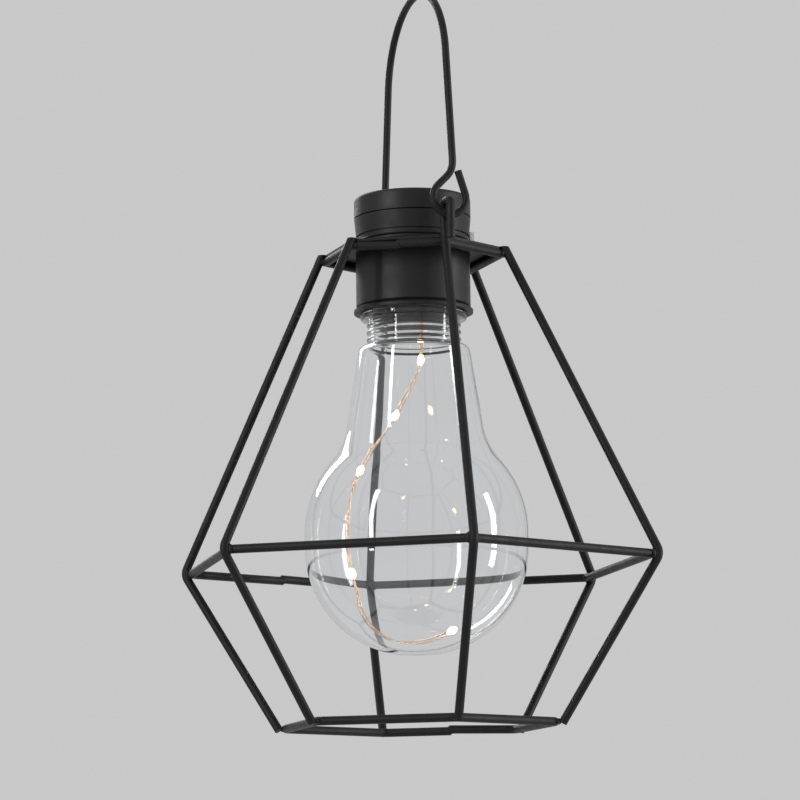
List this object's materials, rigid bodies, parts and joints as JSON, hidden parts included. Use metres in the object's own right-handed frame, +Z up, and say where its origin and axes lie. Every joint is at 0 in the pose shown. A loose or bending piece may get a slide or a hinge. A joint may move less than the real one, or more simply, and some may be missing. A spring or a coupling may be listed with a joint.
{
  "type": "wire cage lantern",
  "caption": "Hexagonal wire cage lantern with a swinging bail, a clear screw-in bulb-shaped bottle and a battery cap that lights a string of small lamps.",
  "frame": {"origin": "centre of the cage's foot, on the surface that the base ring stands on", "axes": "+Z up along the cage's axis, -Y towards the front hook of the bail, +X towards the switch knob"},
  "size_m": [0.188, 0.2026, 0.3047],
  "materials": {
    "black_wire": "matte black powder coat on bent steel wire",
    "black_plastic": "finely textured black moulding",
    "switch_plastic": "smooth black moulding",
    "white_plastic": "smooth white moulding",
    "board": "green circuit board",
    "bright_steel": "plated steel",
    "cell_jacket": "plain printed jacket with no marks",
    "seal_rubber": "soft black rubber",
    "clear_plastic": "clear and glossy, moulded in one piece",
    "copper": "bare bright copper wire",
    "lamp_resin": "clear resin drop, lit warm white"
  },
  "bodies": {
    "cage": {"base_ring": "black_wire", "waist_ring": "black_wire", "top_ring": "black_wire", "rib_front": "black_wire", "rib_front_left": "black_wire", "rib_front_right": "black_wire", "rib_rear": "black_wire", "rib_rear_left": "black_wire", "rib_rear_right": "black_wire", "top_plate": "black_wire", "socket_sleeve": "black_plastic", "battery_housing": "black_plastic", "cell_cradle": "black_plastic", "contact_springs": "bright_steel", "battery_cell_1": "cell_jacket", "battery_cell_2": "cell_jacket", "battery_cell_3": "cell_jacket", "switch_body": "switch_plastic", "control_board": "board", "clamp_screws": "bright_steel", "wire_grommet": "seal_rubber", "lamp_wire": "copper", "lamps": "lamp_resin"},
    "bail": {"bail": "black_wire"},
    "lid": {"battery_lid": "black_plastic", "lid_contact_plate": "bright_steel", "lid_seal": "seal_rubber"},
    "knob": {"switch_knob": "white_plastic"},
    "gasket": {"neck_gasket": "seal_rubber"},
    "bottle": {"bulb": "clear_plastic"}
  },
  "joints": [
    {"name": "bail_swing", "type": "hinge", "parent": "cage", "child": "bail", "pos_m": [0, 0, 0.20815], "axis": [0, 1, 0], "range_deg": [-132, 128]},
    {"name": "lid_lift", "type": "slide", "parent": "cage", "child": "lid", "axis": [0, 0, 1], "range_m": [0, 0.06]},
    {"name": "switch_slide", "type": "slide", "parent": "cage", "child": "knob", "axis": [0, 1, 0], "range_m": [0, 0.0025]},
    {"name": "bottle_drop", "type": "slide", "parent": "cage", "child": "gasket", "axis": [0, 0, -1], "range_m": [0, 0.0075]},
    {"name": "bottle_turn", "type": "hinge", "parent": "gasket", "child": "bottle", "pos_m": [0, 0, 0.18], "axis": [0, 0, -1], "range_deg": [0, 900]}
  ],
  "couplings": [
    {"joint": "bottle_drop", "follows": "bottle_turn", "m_per_rad": 0.000477}
  ]
}
